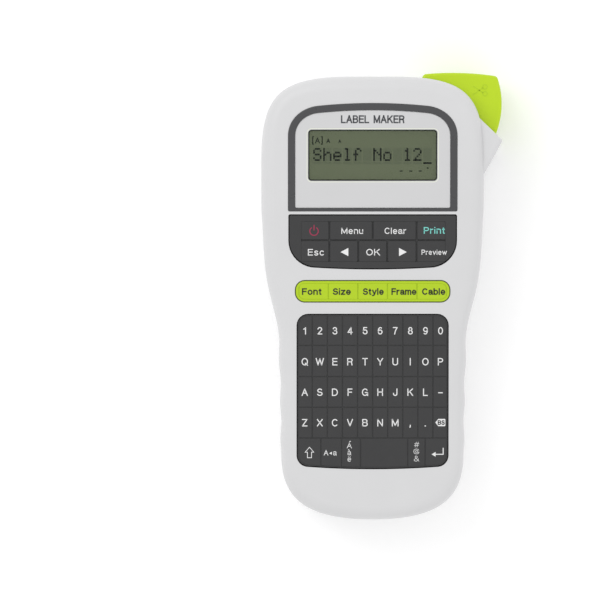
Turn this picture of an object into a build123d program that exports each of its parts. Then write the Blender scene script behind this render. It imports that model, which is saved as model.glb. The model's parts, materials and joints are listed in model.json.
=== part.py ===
from build123d import *
import math
import os

# Handheld label maker lying on its back, keypad and display facing up.
# All sizes are millimetres. While modelling, X is measured from the body's centreline, Y from the
# keypad end and Z from the surface it lies on; write_part moves every piece so that the origin is
# under the middle of the whole object's box.

# Body
BODY_LENGTH = 205.8
GRIP_HALF = 42.4
HEAD_HALF = 51.7
GRIP_DEPTH = 44.0
HEAD_DEPTH = 57.0
WALL = 2.2
PARTING_Z = 28.0
FRONT_ROUND = 6.0
BACK_ROUND = 6.0
BACK_WALL = 4.6
GROOVE_DEPTH = 0.45
GROOVE_HALF_HEIGHT = 0.25
FACE_TILT = math.degrees(math.atan2(HEAD_DEPTH - GRIP_DEPTH, BODY_LENGTH))
FACE = Location((0, 0, GRIP_DEPTH), (FACE_TILT, 0, 0))

# Tape exit flare on the right side: corners of its outline
FLARE_TOP = (49.6, 186.7)
FLARE_TIP = (60.4, 176.3)
FLARE_FOOT = (51.3, 159.8)
FLARE_LOW_Z = 2.5
FLARE_HIGH_Z = 50.5
TAPE_Y = 169.0
TAPE_SLOT_WIDTH = 2.4
TAPE_LOW_Z = 5.2
TAPE_HIGH_Z = 19.0

# Cutter lever at the upper right corner
LEVER_TOP_LEFT = (23.4, 207.3)
LEVER_TOP_MIDDLE = (38.5, 208.0)
LEVER_TOP_RIGHT = (58.0, 206.4)
LEVER_SIDE_MIDDLE = (60.2, 192.0)
LEVER_FOOT = (56.4, 176.9)
LEVER_PIVOT = (28.5, 199.5)
LEVER_LOW_Z = 9.0
LEVER_HIGH_Z = 40.0
LEVER_SKIN = 2.0
LEVER_GAP = 0.6
PIVOT_PIN_R = 1.5
RUNNING_GAP = 0.05

LEVER_BOSS_R = 3.4
PIN_TOP_Z = 46.0

# Openings in the face, measured along the tilted face
FAR = 300.0
BEZEL_HALF = 39.3
BEZEL_TOP = 193.8
BEZEL_BOTTOM = 143.5
BEZEL_RING = 3.2
BEZEL_CORNER = 14.0
POCKET_DEPTH = 1.3
SKIN = 2.4
PANEL_RECESS = 0.3
LCD_HALF_X = 29.9
LCD_LOW_Y = 157.7
LCD_HIGH_Y = 181.4
FUNCTION_HALF = 39.0
FUNCTION_TOP = 142.1
FUNCTION_BOTTOM = 116.7
FUNCTION_CORNER = 12.5
STYLE_HALF = 36.0
STYLE_TOP = 111.6
STYLE_BOTTOM = 101.3
STYLE_CORNER = 4.5
LETTER_HALF = 35.2
LETTER_TOP = 95.9
LETTER_BOTTOM = 23.7
LETTER_CORNER = 5.3

# Keys
PAD_GAP = 0.4
PAD_TOP = 0.3
PAD_FLANGE = 1.0
PAD_ROUND = 0.25
UNDER_SKIN_GAP = 0.1
CUT_HIGH = 5.0
WEB_TOP = -3.5
WEB_THICK = 0.8
KEY_BOTTOM = -2.5
KEY_GAP = 0.7
LETTER_GAP = 0.4
KEY_SIDE_GAP = 0.04
FUNCTION_RIB_TOP = -0.35
SOFT_RIB_TOP = 0.1
KEY_ROUND = 0.12
STYLE_MARGIN = 1.5
PILL_R = 1.6
PILL_GAP = 0.4
PILL_BOTTOM = -6.0
LETTER_COLUMNS = 10
LETTER_PITCH = 7.0
LETTER_MARGIN = 0.9
LETTER_ROW_LINES = (LETTER_TOP, 81.3, 66.8, 52.5, 38.2)
BOTTOM_ROW_EDGES = (-34.6, -24.0, -14.4, -5.6, 16.3, 24.4, 34.6)
BOARD_TOP = -7.0
BOARD_THICK = 1.6
BOARD_HALF = 34.5
BOARD_LOW_Y = 23.0
BOARD_HIGH_Y = 192.0
BOARD_NOTCH_R = 3.8
# Chips on the board's back: lower left corner, size along X and Y, height
CHIPS = (
    ((-8, 76), (16, 16), 1.6),
    ((12, 104), (12, 8), 1.4),
    ((-24, 122), (10, 10), 1.4),
    ((-20, 60), (4, 6), 1.0),
)
CAN_PLACES = ((20, 74), (26, 84), (-26, 96))
CAN_R = 2.5
CAN_HEIGHT = 8.0

# Display stack, depths below the face
DISPLAY_ROOM_LOW = (-33.0, 154.0)
DISPLAY_ROOM_HIGH = (33.0, 185.0)
CELL_LOW = (-32.0, 155.0)
CELL_HIGH = (32.0, 184.0)
CELL_BOTTOM = -3.4
HOLDER_LOW = (-34.5, 152.5)
HOLDER_HIGH = (34.5, 186.5)
STRIP_LOW = (-29.0, 181.5)
STRIP_HIGH = (29.0, 183.5)
STACK_GAP = 0.05

# Back cover and what lies under it
RECESS_INSET = 9.3
OPENING_INSET = 11.3
COVER_LOW_Z = 0.5
COVER_THICK = 2.0
FLOOR_LOW_Z = 15.5
FLOOR_HIGH_Z = 17.5
FLOOR_END_Y = 121.0
CELL_R = 5.2
CELL_LENGTH = 43.5
CELL_COUNT = 6
CELL_PITCH = 11.0
CELL_Z = 8.9
BAY_LOW_Y = 57.5
BAY_HIGH_Y = 107.0
BAY_HALF = 34.5
WINDOW_LOW = (-12.0, 142.0)
WINDOW_HIGH = (22.0, 156.0)
BATTERY_WALL = 1.5
GRIP_RIB_COUNT = 5
GRIP_RIB_PITCH = 2.6
GRIP_RIB_START_Y = 24.0

# Mains adapter inlet in the left wall
DC_Y = 102.0
DC_Z = 22.6
DC_HOLE_R = 4.2
DC_SOCKET_R = 2.9
DC_PIN_R = 1.0
DC_BODY_LEFT = -42.6
DC_BODY_RIGHT = -33.5
DC_BODY_HALF = 4.5

# Screws that hold the two cases together
SCREW_PLACES = ((-14, 15), (14, 15), (-36.2, 114.2), (36.2, 114.2))
SCREW_BOSS_R = 2.9
SCREW_HEAD_R = 2.3
SCREW_HEAD_HEIGHT = 1.9
SCREW_R = 1.25
SCREW_BITE = 12.0

# Drive train: plate, gears and platen
PLATE_LOW_Z = 21.5
PLATE_HIGH_Z = 23.5
GEAR_LOW_Z = 24.4
GEAR_HIGH_Z = 28.4
MODULE = 0.6
PRESSURE_ANGLE = math.radians(20)
TOOTH_ADDENDUM = 0.8
TOOTH_DEDENDUM = 1.15
TOOTH_BACKLASH = 0.16
PINION_TEETH = 12
REDUCTION_TEETH = 36
PLATEN_TEETH = 16
RIBBON_TEETH = 20
REDUCTION_CENTRE = (30.0, 157.6)
MOTOR_DIRECTION = 160.0
PLATEN_DIRECTION = 90.0
RIBBON_DIRECTION = 228.0
ARM_PIVOT = (12.0, 178.0)
ARM_LOW_Z = 4.9
ARM_HIGH_Z = 21.1
PLATEN_R = 4.0
PLATEN_SHAFT_R = 1.2
STUD_R = 2.0

# Tape cassette
CASSETTE_LEFT = -38.0
CASSETTE_RIGHT = 26.5
CASSETTE_LOW_Y = 126.2
CASSETTE_HIGH_Y = 172.0
CASSETTE_LOW_Z = 4.0
CASSETTE_HIGH_Z = 21.0
CASSETTE_WALL = 1.3
ROLL_CENTRE = (-15.0, 149.0)
ROLL_R = 19.5
ROLL_BORE_R = 7.0
ROLL_LOW_Z = 6.0
ROLL_HIGH_Z = 18.5

# The whole object's box decides where the origin is.
ROW_SHIFT = ((HEAD_HALF - FLARE_TIP[0]) / 2, -LEVER_TOP_MIDDLE[1] / 2, 0)


# ---------- helpers ----------

def write_part(name, shape):
    """Move a piece into the object's own frame and write it to its file."""
    export_step(shape.moved(Location(ROW_SHIFT)), f"parts/{name}.step")


def block(low, high):
    """Box between two opposite corners."""
    size = [b - a for a, b in zip(low, high)]
    return Pos(*low) * Box(*size, align=(Align.MIN, Align.MIN, Align.MIN))


def under_face(depth=0.0):
    """Everything that lies at least this deep below the tilted face."""
    return FACE * block((-FAR, -FAR, -FAR), (FAR, FAR, -depth))


def rod(centre, radius, low_z, high_z):
    """Upright cylinder between two heights."""
    base = Pos(centre[0], centre[1], low_z)
    return base * Cylinder(radius, high_z - low_z, align=(Align.CENTER, Align.CENTER, Align.MIN))


def prism(face, low_z, high_z):
    """Flat outline raised between two heights."""
    return Pos(0, 0, low_z) * extrude(face, high_z - low_z)


def polygon(*points):
    """Flat face with straight edges through the points."""
    return make_face(Polyline(*points, close=True))


def joined_face(curves):
    """Flat face inside curves that meet end to end; each stays an edge of its own."""
    return make_face([edge for curve in curves for edge in curve.edges()])


def mirrored_face(curves):
    """Face from curves that run up the right side, and their mirror image."""
    return joined_face(curves + [mirror(curve, about=Plane.YZ) for curve in curves])


def polar(centre, distance, angle):
    """Point at a distance and direction, in degrees, from a centre."""
    turn = math.radians(angle)
    return (centre[0] + distance * math.cos(turn), centre[1] + distance * math.sin(turn))


# ---------- outlines ----------

def body_outline(inset=0.0):
    """Case outline: rounded grip end, waist with shallow finger waves, wider head."""
    grip = GRIP_HALF - inset
    head = HEAD_HALF - inset
    end = Bezier((0, inset), (30 - 0.3 * inset, inset), (grip, 9 + 0.4 * inset), (grip, 30))
    side_points = [
        (grip, 30),
        (grip + 0.45, 38),
        (grip - 0.05, 46),
        (grip + 0.6, 55),
        (grip + 0.2, 64),
        (grip + 1.1, 73),
        (grip + 0.9, 82),
        (grip + 2.3, 93),
        (grip + 5.6, 106),
        (head - 1.7, 118),
        (head - 0.5, 138),
        (head, 165),
    ]
    side = Spline(*side_points, tangents=[(0, 1), (0, 1)])
    top = BODY_LENGTH - inset
    corner = Bezier((head, 165), (head, 196 - 0.45 * inset), (45.5 - 0.45 * inset, top), (10, top))
    return mirrored_face([end, side, corner, Line((10, top), (0, top))])


def pad_outline(half, low, high, low_corner, high_corner, low_bow=0.0, high_bow=0.0):
    """Outline of a pad or bezel: upright sides, round corners, bowed lower and upper edges."""
    low_side, low_curves = bowed_end(half, low, low_corner, low_bow, 1)
    high_side, high_curves = bowed_end(half, high, high_corner, high_bow, -1)
    return mirrored_face(low_curves + [Line(low_side, high_side)] + high_curves)


def bowed_end(half, level, corner, bow, inward):
    """One bowed end from the middle to the side, with a round corner that runs on smoothly."""
    chord = half - corner
    if bow:
        radius = (chord ** 2 + bow ** 2) / (2 * bow)
        slope = math.asin(chord / radius)
    else:
        slope = 0.0
    start = (0, level)
    shoulder = (chord, level + inward * bow)
    side = (half, shoulder[1] + inward * corner)
    pull = 0.552 * corner
    leave = (shoulder[0] + pull * math.cos(slope), shoulder[1] + inward * pull * math.sin(slope))
    arrive = (half, side[1] - inward * pull)
    if bow:
        half_bow = (radius * math.sin(slope / 2), level + inward * radius * (1 - math.cos(slope / 2)))
        edge = ThreePointArc(start, half_bow, shoulder)
    else:
        edge = Line(start, shoulder)
    return side, [edge, Bezier(shoulder, leave, arrive, side)]


def bezel_outline(inset=0.0, low_inset=None):
    low = BEZEL_BOTTOM + (inset if low_inset is None else low_inset)
    corner = BEZEL_CORNER - inset
    return pad_outline(BEZEL_HALF - inset, low, BEZEL_TOP - inset, 0.8, corner, 0.0, 1.3)


def function_outline(inset=0.0):
    half = FUNCTION_HALF - inset
    low = FUNCTION_BOTTOM + inset
    return pad_outline(half, low, FUNCTION_TOP - inset, FUNCTION_CORNER - inset, 0.8, 0.8, 0.0)


def style_outline(inset=0.0):
    corner = STYLE_CORNER - inset
    return pad_outline(STYLE_HALF - inset, STYLE_BOTTOM + inset, STYLE_TOP - inset, corner, corner)


def letter_outline(inset=0.0):
    corner = LETTER_CORNER - inset
    low = LETTER_BOTTOM + inset
    return pad_outline(LETTER_HALF - inset, low, LETTER_TOP - inset, corner, corner, 1.1, 0.0)


def lcd_outline(inset=0.0):
    width = 2 * (LCD_HALF_X - inset)
    height = LCD_HIGH_Y - LCD_LOW_Y - 2 * inset
    middle = (LCD_LOW_Y + LCD_HIGH_Y) / 2
    return Pos(0, middle) * RectangleRounded(width, height, 1.6)


def flare_outline():
    return polygon((40, 193.5), (45.5, 190.4), FLARE_TOP, FLARE_TIP, FLARE_FOOT, (44, 154))


def flare_hollow():
    """Inside of the flare, open towards the inside of the case."""
    return polygon((42, 186.0), (47.6, 185.2), (57.3, 176.0), (50.6, 162.8), (42, 162.8))


def lever_slot():
    """Room for the lever and its swing, cut through the case's corner and the flare's upper side."""
    inner = [(21.8, 197.0), (38.0, 183.0), (46.0, 172.8), (53.6, 170.9), (57.3, 176.2)]
    outer = [(58.9, 178.6), (70.0, 178.6), (70.0, 214.0), (21.8, 214.0)]
    return polygon(*inner, *outer)


def lever_outline():
    """Lever seen from the front: arched top, bowed right side, inner edge hidden in the case."""
    inner_points = [(46.0, 181.5), (41.0, 191.5), (34.0, 196.0), (24.6, 197.6), (23.0, 203.0)]
    inner = Polyline(LEVER_FOOT, *inner_points, LEVER_TOP_LEFT)
    top = ThreePointArc(LEVER_TOP_LEFT, LEVER_TOP_MIDDLE, LEVER_TOP_RIGHT)
    side = ThreePointArc(LEVER_TOP_RIGHT, LEVER_SIDE_MIDDLE, LEVER_FOOT)
    return joined_face([inner, top, side])


# ---------- case ----------

def parting_groove():
    """Shallow shadow line where the two cases meet."""
    low, high = PARTING_Z - GROOVE_HALF_HEIGHT, PARTING_Z + GROOVE_HALF_HEIGHT
    return prism(body_outline(-1.0), low, high) - prism(body_outline(GROOVE_DEPTH), low - 1, high + 1)


def front_shell():
    """Outer skin of the front case, hollow, with its rounded front edge."""
    outer = prism(body_outline(), PARTING_Z, HEAD_DEPTH + WALL) & under_face()
    outer = fillet(outer.faces().sort_by(Axis.Z)[-1].edges(), FRONT_ROUND)
    outer = outer - parting_groove()
    inner = prism(body_outline(WALL), PARTING_Z - 1, HEAD_DEPTH + WALL) & under_face(SKIN)
    inner = fillet(inner.faces().sort_by(Axis.Z)[-1].edges(), FRONT_ROUND - WALL)
    return outer, inner


def make_front_case():
    outer, inner = front_shell()
    flare = prism(flare_outline(), PARTING_Z, FLARE_HIGH_Z)
    flare = fillet(flare.edges().filter_by(Axis.Z).sort_by(Axis.X)[-1:], 1.0)
    flare = fillet(flare.faces().sort_by(Axis.Z)[-1].edges().filter_by(flare_rim), 1.6)
    case = outer + flare
    case = case - inner
    case = case - prism(flare_hollow(), PARTING_Z - 1, FLARE_HIGH_Z - 4)
    case = case - prism(lever_slot(), PARTING_Z - 1, LEVER_HIGH_Z + LEVER_GAP)
    case = case - FACE * prism(bezel_outline(), -POCKET_DEPTH, CUT_HIGH)
    case = case - FACE * block((*DISPLAY_ROOM_LOW, -2 * SKIN), (*DISPLAY_ROOM_HIGH, CUT_HIGH))
    for outline in (function_outline(), style_outline(), letter_outline()):
        case = case - FACE * prism(outline, -2 * SKIN, CUT_HIGH)
    for place in SCREW_PLACES:
        case = case + (rod(place, SCREW_BOSS_R, FLOOR_HIGH_Z, HEAD_DEPTH) & under_face(SKIN / 2))
        case = case - rod(place, SCREW_R + 0.1, FLOOR_HIGH_Z - 1, FLOOR_HIGH_Z + SCREW_BITE + 2)
    boss = rod(LEVER_PIVOT, LEVER_BOSS_R, LEVER_HIGH_Z + LEVER_GAP, PIN_TOP_Z + 2) & outer
    case = case + boss
    return case - rod(LEVER_PIVOT, PIVOT_PIN_R, LEVER_HIGH_Z, PIN_TOP_Z)


def flare_rim(edge):
    """True for the flare's outer edges, which stand outside the body."""
    return edge.center().X > 50


def make_rear_case():
    outer = prism(body_outline(), 0, PARTING_Z)
    outer = fillet(outer.faces().sort_by(Axis.Z)[0].edges(), BACK_ROUND)
    outer = outer - parting_groove()
    inner = prism(body_outline(WALL), BACK_WALL, PARTING_Z + 1)
    inner = fillet(inner.faces().sort_by(Axis.Z)[0].edges(), BACK_ROUND - WALL - 0.8)
    flare = prism(flare_outline(), FLARE_LOW_Z, PARTING_Z)
    flare = fillet(flare.edges().filter_by(Axis.Z).sort_by(Axis.X)[-1:], 1.0)
    flare = fillet(flare.faces().sort_by(Axis.Z)[0].edges().filter_by(flare_rim), 1.6)
    case = outer + flare
    case = case - inner
    case = case - prism(flare_hollow(), FLARE_LOW_Z + WALL, PARTING_Z + 1)
    case = case - prism(lever_slot(), LEVER_LOW_Z - LEVER_GAP, PARTING_Z + 1)
    slot_low = TAPE_Y - TAPE_SLOT_WIDTH / 2
    case = case - block((46, slot_low, TAPE_LOW_Z), (62, slot_low + TAPE_SLOT_WIDTH, TAPE_HIGH_Z))
    floor = prism(body_outline(WALL - 0.2), FLOOR_LOW_Z, FLOOR_HIGH_Z)
    case = case + (floor & block((-80, 0, 0), (80, FLOOR_END_Y, 60)))
    case = case - prism(body_outline(RECESS_INSET), -1, COVER_LOW_Z + COVER_THICK + 0.2)
    case = case - prism(body_outline(OPENING_INSET), -1, BACK_WALL + 0.1)
    case = case + bay_walls()
    for place in SCREW_PLACES:
        case = case - rod(place, SCREW_R + 0.15, FLOOR_LOW_Z - 1, FLOOR_HIGH_Z + 1)
    case = case + rod(LEVER_PIVOT, LEVER_BOSS_R, BACK_WALL - 1, LEVER_LOW_Z - LEVER_GAP)
    case = case - rod(LEVER_PIVOT, PIVOT_PIN_R, BACK_WALL, LEVER_LOW_Z)
    return case - dc_hole(DC_HOLE_R)


def bay_walls():
    """Walls of the battery bay, standing on the bay floor."""
    low_z = BACK_WALL + 0.4
    wall = BATTERY_WALL
    low = (-BAY_HALF - wall, BAY_LOW_Y - wall, low_z)
    high = (BAY_HALF + wall, BAY_HIGH_Y + wall, FLOOR_LOW_Z)
    inside = block((-BAY_HALF, BAY_LOW_Y, low_z - 1), (BAY_HALF, BAY_HIGH_Y, FLOOR_LOW_Z + 1))
    return block(low, high) - inside


def dc_hole(radius):
    """Round hole through the left wall for the mains adapter's plug."""
    return Pos(-46, DC_Y, DC_Z) * Rot(0, 90, 0) * Cylinder(radius, 20)


def make_dc_jack():
    low = (DC_BODY_LEFT, DC_Y - DC_BODY_HALF, FLOOR_HIGH_Z + 0.1)
    high = (DC_BODY_RIGHT, DC_Y + DC_BODY_HALF, PARTING_Z - 0.8)
    length = DC_BODY_RIGHT - DC_BODY_LEFT
    socket = Pos(DC_BODY_LEFT + 3.1, DC_Y, DC_Z) * Rot(0, 90, 0) * Cylinder(DC_SOCKET_R, length)
    pin = Pos(DC_BODY_LEFT + 4.6, DC_Y, DC_Z) * Rot(0, 90, 0) * Cylinder(DC_PIN_R, length - 1)
    return (block(low, high) - socket) + pin


def make_case_screws():
    screws = []
    head_low = FLOOR_LOW_Z - 0.1 - SCREW_HEAD_HEIGHT
    cross = Box(2.8, 0.7, SCREW_HEAD_HEIGHT) + Box(0.7, 2.8, SCREW_HEAD_HEIGHT)
    for place in SCREW_PLACES:
        head = rod(place, SCREW_HEAD_R, head_low, FLOOR_LOW_Z - 0.1)
        shank = rod(place, SCREW_R, FLOOR_LOW_Z - 0.2, FLOOR_HIGH_Z + SCREW_BITE)
        screws.append(head + shank - Pos(*place, head_low) * cross)
    return Compound(screws)


# ---------- back cover ----------

def make_back_cover():
    top = COVER_LOW_Z + COVER_THICK
    cover = prism(body_outline(RECESS_INSET + 0.25), COVER_LOW_Z, top)
    cover = fillet(cover.faces().sort_by(Axis.Z)[0].edges(), 0.4)
    rib = prism(body_outline(OPENING_INSET + 0.4), top, top + 1.4)
    rib = rib - prism(body_outline(OPENING_INSET + 1.8), top - 1, top + 2)
    cover = cover + rib
    for index in range(GRIP_RIB_COUNT):
        y = GRIP_RIB_START_Y + GRIP_RIB_PITCH * index
        cover = cover - block((-9, y, COVER_LOW_Z - 1), (9, y + GRIP_RIB_PITCH / 2, COVER_LOW_Z + 0.5))
    window = block((*WINDOW_LOW, -1), (*WINDOW_HIGH, top + 1))
    return cover - window


def make_cover_window():
    low = (WINDOW_LOW[0] + 0.1, WINDOW_LOW[1] + 0.1, COVER_LOW_Z + 0.3)
    high = (WINDOW_HIGH[0] - 0.1, WINDOW_HIGH[1] - 0.1, COVER_LOW_Z + COVER_THICK)
    return block(low, high)


# ---------- display ----------

def make_display_bezel():
    ring = prism(bezel_outline(0.08), -POCKET_DEPTH + 0.02, PAD_TOP)
    ring = fillet(ring.faces().sort_by(Axis.Z)[-1].edges(), 0.3)
    ring = ring - prism(bezel_outline(BEZEL_RING, 1.5), -POCKET_DEPTH - 1, 5)
    return FACE * ring


def make_display_panel():
    panel = prism(bezel_outline(BEZEL_RING + 0.06, 1.56), -POCKET_DEPTH + 0.02, -PANEL_RECESS + 0.3)
    panel = panel - prism(lcd_outline(), -5, 5)
    return FACE * chamfer(panel.faces().sort_by(Axis.Z)[-1].edges(), 0.25)


def make_lcd_window():
    return FACE * prism(lcd_outline(0.06), -POCKET_DEPTH + 0.1, -PANEL_RECESS)


def make_lcd_cell():
    return FACE * block((*CELL_LOW, CELL_BOTTOM), (*CELL_HIGH, -POCKET_DEPTH - 0.1))


def make_lcd_holder():
    """Frame under the display cell, with a window behind it and a slot for the connector strip."""
    frame = block((*HOLDER_LOW, BOARD_TOP + STACK_GAP), (*HOLDER_HIGH, CELL_BOTTOM - STACK_GAP))
    window = block((-30.5, 157, BOARD_TOP - 1), (30.5, 180.5, 0))
    low = (STRIP_LOW[0] - 0.2, STRIP_LOW[1] - 0.2, BOARD_TOP - 1)
    high = (STRIP_HIGH[0] + 0.2, STRIP_HIGH[1] + 0.2, 0)
    return FACE * (frame - window - block(low, high))


def make_zebra_strip():
    low = (*STRIP_LOW, BOARD_TOP + STACK_GAP)
    return FACE * block(low, (*STRIP_HIGH, CELL_BOTTOM - STACK_GAP))


def make_main_board():
    low = BOARD_TOP - BOARD_THICK
    board = block((-BOARD_HALF, BOARD_LOW_Y, low), (BOARD_HALF, BOARD_HIGH_Y, BOARD_TOP))
    for x, y in SCREW_PLACES[2:]:
        board = board - rod((x, y - 1.2), BOARD_NOTCH_R, low - 1, BOARD_TOP + 1)
    parts = [board]
    for (x, y), (width, length), height in CHIPS:
        parts.append(block((x, y, low - height), (x + width, y + length, low)))
    for place in CAN_PLACES:
        parts.append(rod(place, CAN_R, low - CAN_HEIGHT, low))
    return FACE * Compound(parts)


# ---------- keypads ----------

def pad_frame(outer, flange, well, rib_top, key_faces, pills):
    """Rubber mat round the keys: rim, flange under the case, low ribs between the keys and web."""
    mat = prism(outer, WEB_TOP, PAD_TOP)
    mat = fillet(mat.faces().sort_by(Axis.Z)[-1].edges(), PAD_ROUND)
    mat = mat + prism(flange, WEB_TOP - WEB_THICK, -SKIN - UNDER_SKIN_GAP)
    mat = mat - prism(well, rib_top, CUT_HIGH)
    mat = mat - Compound([prism(face, WEB_TOP, CUT_HIGH) for face in key_faces])
    holes = [Pos(x, y, WEB_TOP) * Cylinder(PILL_R + PILL_GAP, 4 * WEB_THICK) for x, y in pills]
    return FACE * (mat - Compound(holes))


def key(cap_face, pill, top=PAD_TOP):
    """One key: a cap with a softly rounded rim and the contact pill under it."""
    cap = prism(cap_face, KEY_BOTTOM, top)
    cap = fillet(cap.faces().sort_by(Axis.Z)[-1].edges(), KEY_ROUND)
    stem = rod(pill, PILL_R, PILL_BOTTOM, KEY_BOTTOM + 0.5)
    return FACE * (cap + stem)


def cell_face(edges, rows, gap, bound=None):
    """Top outline of a key between two groove lines each way, kept inside a bound if given."""
    width = edges[1] - edges[0] - gap
    height = rows[1] - rows[0] - gap
    centre = Pos((edges[0] + edges[1]) / 2, (rows[0] + rows[1]) / 2)
    if bound:
        return (centre * Rectangle(width, height)) & bound
    return centre * RectangleRounded(width, height, 0.5)


FUNCTION_KEYS = {
    "key_power": ((-33.5, -20.1), (130.2, 139.2)),
    "key_menu": ((-20.1, 0.0), (130.2, 139.2)),
    "key_clear": ((0.0, 20.3), (130.2, 139.2)),
    "key_print": ((20.3, 34.0), (130.2, 139.2)),
    "key_escape": ((-33.5, -20.1), (119.9, 130.2)),
    "key_left": ((-20.1, -6.7), (119.9, 130.2)),
    "key_ok": ((-6.7, 6.7), (119.9, 130.2)),
    "key_right": ((6.7, 20.3), (119.9, 130.2)),
    "key_preview": ((20.3, 34.0), (119.9, 130.2)),
}
STYLE_NAMES = ("key_font", "key_size", "key_style", "key_frame", "key_cable")
STYLE_PITCH = 13.7
ROW_NAMES = ("keys_digits", "keys_upper_row", "keys_home_row", "keys_lower_row")
BOTTOM_NAMES = ("key_shift", "key_caps", "key_accent", "key_space", "key_symbol", "key_enter")


def middle(span):
    return (span[0] + span[1]) / 2


def make_function_keys():
    """The nine function keys and the dark frame they sit in."""
    keys = {}
    rooms = []
    pills = []
    rib = KEY_GAP - 2 * KEY_SIDE_GAP
    for name, (edges, rows) in FUNCTION_KEYS.items():
        place = (middle(edges), middle(rows))
        keys[name] = key(cell_face(edges, rows, KEY_GAP), place)
        rooms.append(cell_face(edges, rows, rib))
        pills.append(place)
    low, high = FUNCTION_KEYS["key_escape"], FUNCTION_KEYS["key_print"]
    well = cell_face((low[0][0], high[0][1]), (low[1][0], high[1][1]), rib)
    outer, flange = function_outline(PAD_GAP), function_outline(-PAD_FLANGE)
    return keys, pad_frame(outer, flange, well, FUNCTION_RIB_TOP, rooms, pills)


def make_style_keys():
    """The five lime keys and their lime frame."""
    keys = {}
    rooms = []
    pills = []
    left = -STYLE_PITCH * len(STYLE_NAMES) / 2
    rows = (STYLE_BOTTOM + STYLE_MARGIN - LETTER_GAP, STYLE_TOP - STYLE_MARGIN + LETTER_GAP)
    bound = style_outline(STYLE_MARGIN)
    well = style_outline(STYLE_MARGIN - KEY_SIDE_GAP)
    for index, name in enumerate(STYLE_NAMES):
        edges = (left + index * STYLE_PITCH, left + (index + 1) * STYLE_PITCH)
        place = (middle(edges), middle(rows))
        keys[name] = key(cell_face(edges, rows, LETTER_GAP, bound), place)
        rooms.append(cell_face(edges, rows, LETTER_GAP - 2 * KEY_SIDE_GAP, well))
        pills.append(place)
    outer, flange = style_outline(PAD_GAP), style_outline(-PAD_FLANGE)
    return keys, pad_frame(outer, flange, well, SOFT_RIB_TOP, rooms, pills)


def make_letter_keys():
    """Four rows of ten letter keys, the bottom row, and their dark frame."""
    keys = {}
    rooms = []
    pills = []
    bound = letter_outline(LETTER_MARGIN)
    well = letter_outline(LETTER_MARGIN - KEY_SIDE_GAP)
    rib = LETTER_GAP - 2 * KEY_SIDE_GAP
    for name, high, low in zip(ROW_NAMES, LETTER_ROW_LINES, LETTER_ROW_LINES[1:]):
        caps = []
        for column in range(LETTER_COLUMNS):
            left = (column - LETTER_COLUMNS / 2) * LETTER_PITCH
            edges = (left, left + LETTER_PITCH)
            place = (middle(edges), middle((low, high)))
            caps.append(key(cell_face(edges, (low, high), LETTER_GAP, bound), place))
            rooms.append(cell_face(edges, (low, high), rib, well))
            pills.append(place)
        keys[name] = Compound(caps)
    rows = (LETTER_BOTTOM, LETTER_ROW_LINES[-1])
    for name, left, right in zip(BOTTOM_NAMES, BOTTOM_ROW_EDGES, BOTTOM_ROW_EDGES[1:]):
        place = (middle((left, right)), middle(rows))
        keys[name] = key(cell_face((left, right), rows, LETTER_GAP, bound), place)
        rooms.append(cell_face((left, right), rows, rib, well))
        pills.append(place)
    outer, flange = letter_outline(PAD_GAP), letter_outline(-PAD_FLANGE)
    return keys, pad_frame(outer, flange, well, SOFT_RIB_TOP, rooms, pills)


# ---------- cutter ----------

def make_cutter_lever():
    """Lime thumb lever: a shell open towards the case, with a boss round its pivot pin."""
    lever = prism(lever_outline(), LEVER_LOW_Z, LEVER_HIGH_Z)
    lever = fillet(lever.edges().filter_by(lever_corner), 2.0)
    lever = fillet(lever.edges().filter_by(lever_rim), 1.2)
    outer_side = [(33.5, 205.8), (55.4, 204.8), (57.8, 192), (55.6, 184), (54.2, 174)]
    hollow = polygon((33.5, 190), *outer_side, (40, 174))
    lever = lever - prism(hollow, LEVER_LOW_Z + LEVER_SKIN, LEVER_HIGH_Z - LEVER_SKIN)
    return lever - rod(LEVER_PIVOT, PIVOT_PIN_R + RUNNING_GAP, 0, 60)


def lever_corner(edge):
    """True for the upright edges at the two ends of the lever's arched top."""
    upright = edge.bounding_box().size.Z > 1
    return upright and edge.center().Y > LEVER_TOP_RIGHT[1] - 0.5


def lever_rim(edge):
    """True for the lever's outer edges on its front and back faces."""
    flat = edge.bounding_box().size.Z < 0.01
    return flat and (edge.center().Y > LEVER_TOP_RIGHT[1] - 1.5 or edge.center().X > LEVER_FOOT[0] + 0.4)


def make_lever_pivot_pin():
    return rod(LEVER_PIVOT, PIVOT_PIN_R, BACK_WALL + 0.1, PIN_TOP_Z - 0.2)


def make_blade_holder():
    """Block on the lever's inner edge that carries the blade across the tape's path."""
    arm = block((43.4, 174.0, 5.6), (46.6, 186.0, LEVER_LOW_Z - 0.02))
    jaw = block((43.4, 173.0, 5.4), (46.4, 177.0, 19.6))
    return arm + jaw


def make_cutter_blade():
    edge = polygon((42.8, 177.0), (43.35, 177.0), (43.35, 171.4), (42.8, 170.3))
    return prism(edge, 5.4, 19.6)


def make_lever_spring():
    """Leaf spring that pushes the lever outwards."""
    foot = block((31.0, 189.0, 26.0), (31.5, 193.4, 33.0))
    leaf = polygon((31.0, 193.0), (31.5, 192.8), (38.6, 191.2), (38.7, 191.7), (31.4, 193.4))
    return foot + prism(leaf, 26.0, 33.0)


def make_tape_guide():
    """Anvil under the tape, with a notch for the blade, and the channel to the exit."""
    guide = block((35.5, 163.0, TAPE_LOW_Z), (49.0, 168.2, PLATE_LOW_Z - 0.1))
    return guide - block((37.2, 166.4, 0), (44.6, 170, TAPE_HIGH_Z + 1.2))


# ---------- drive ----------

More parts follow.
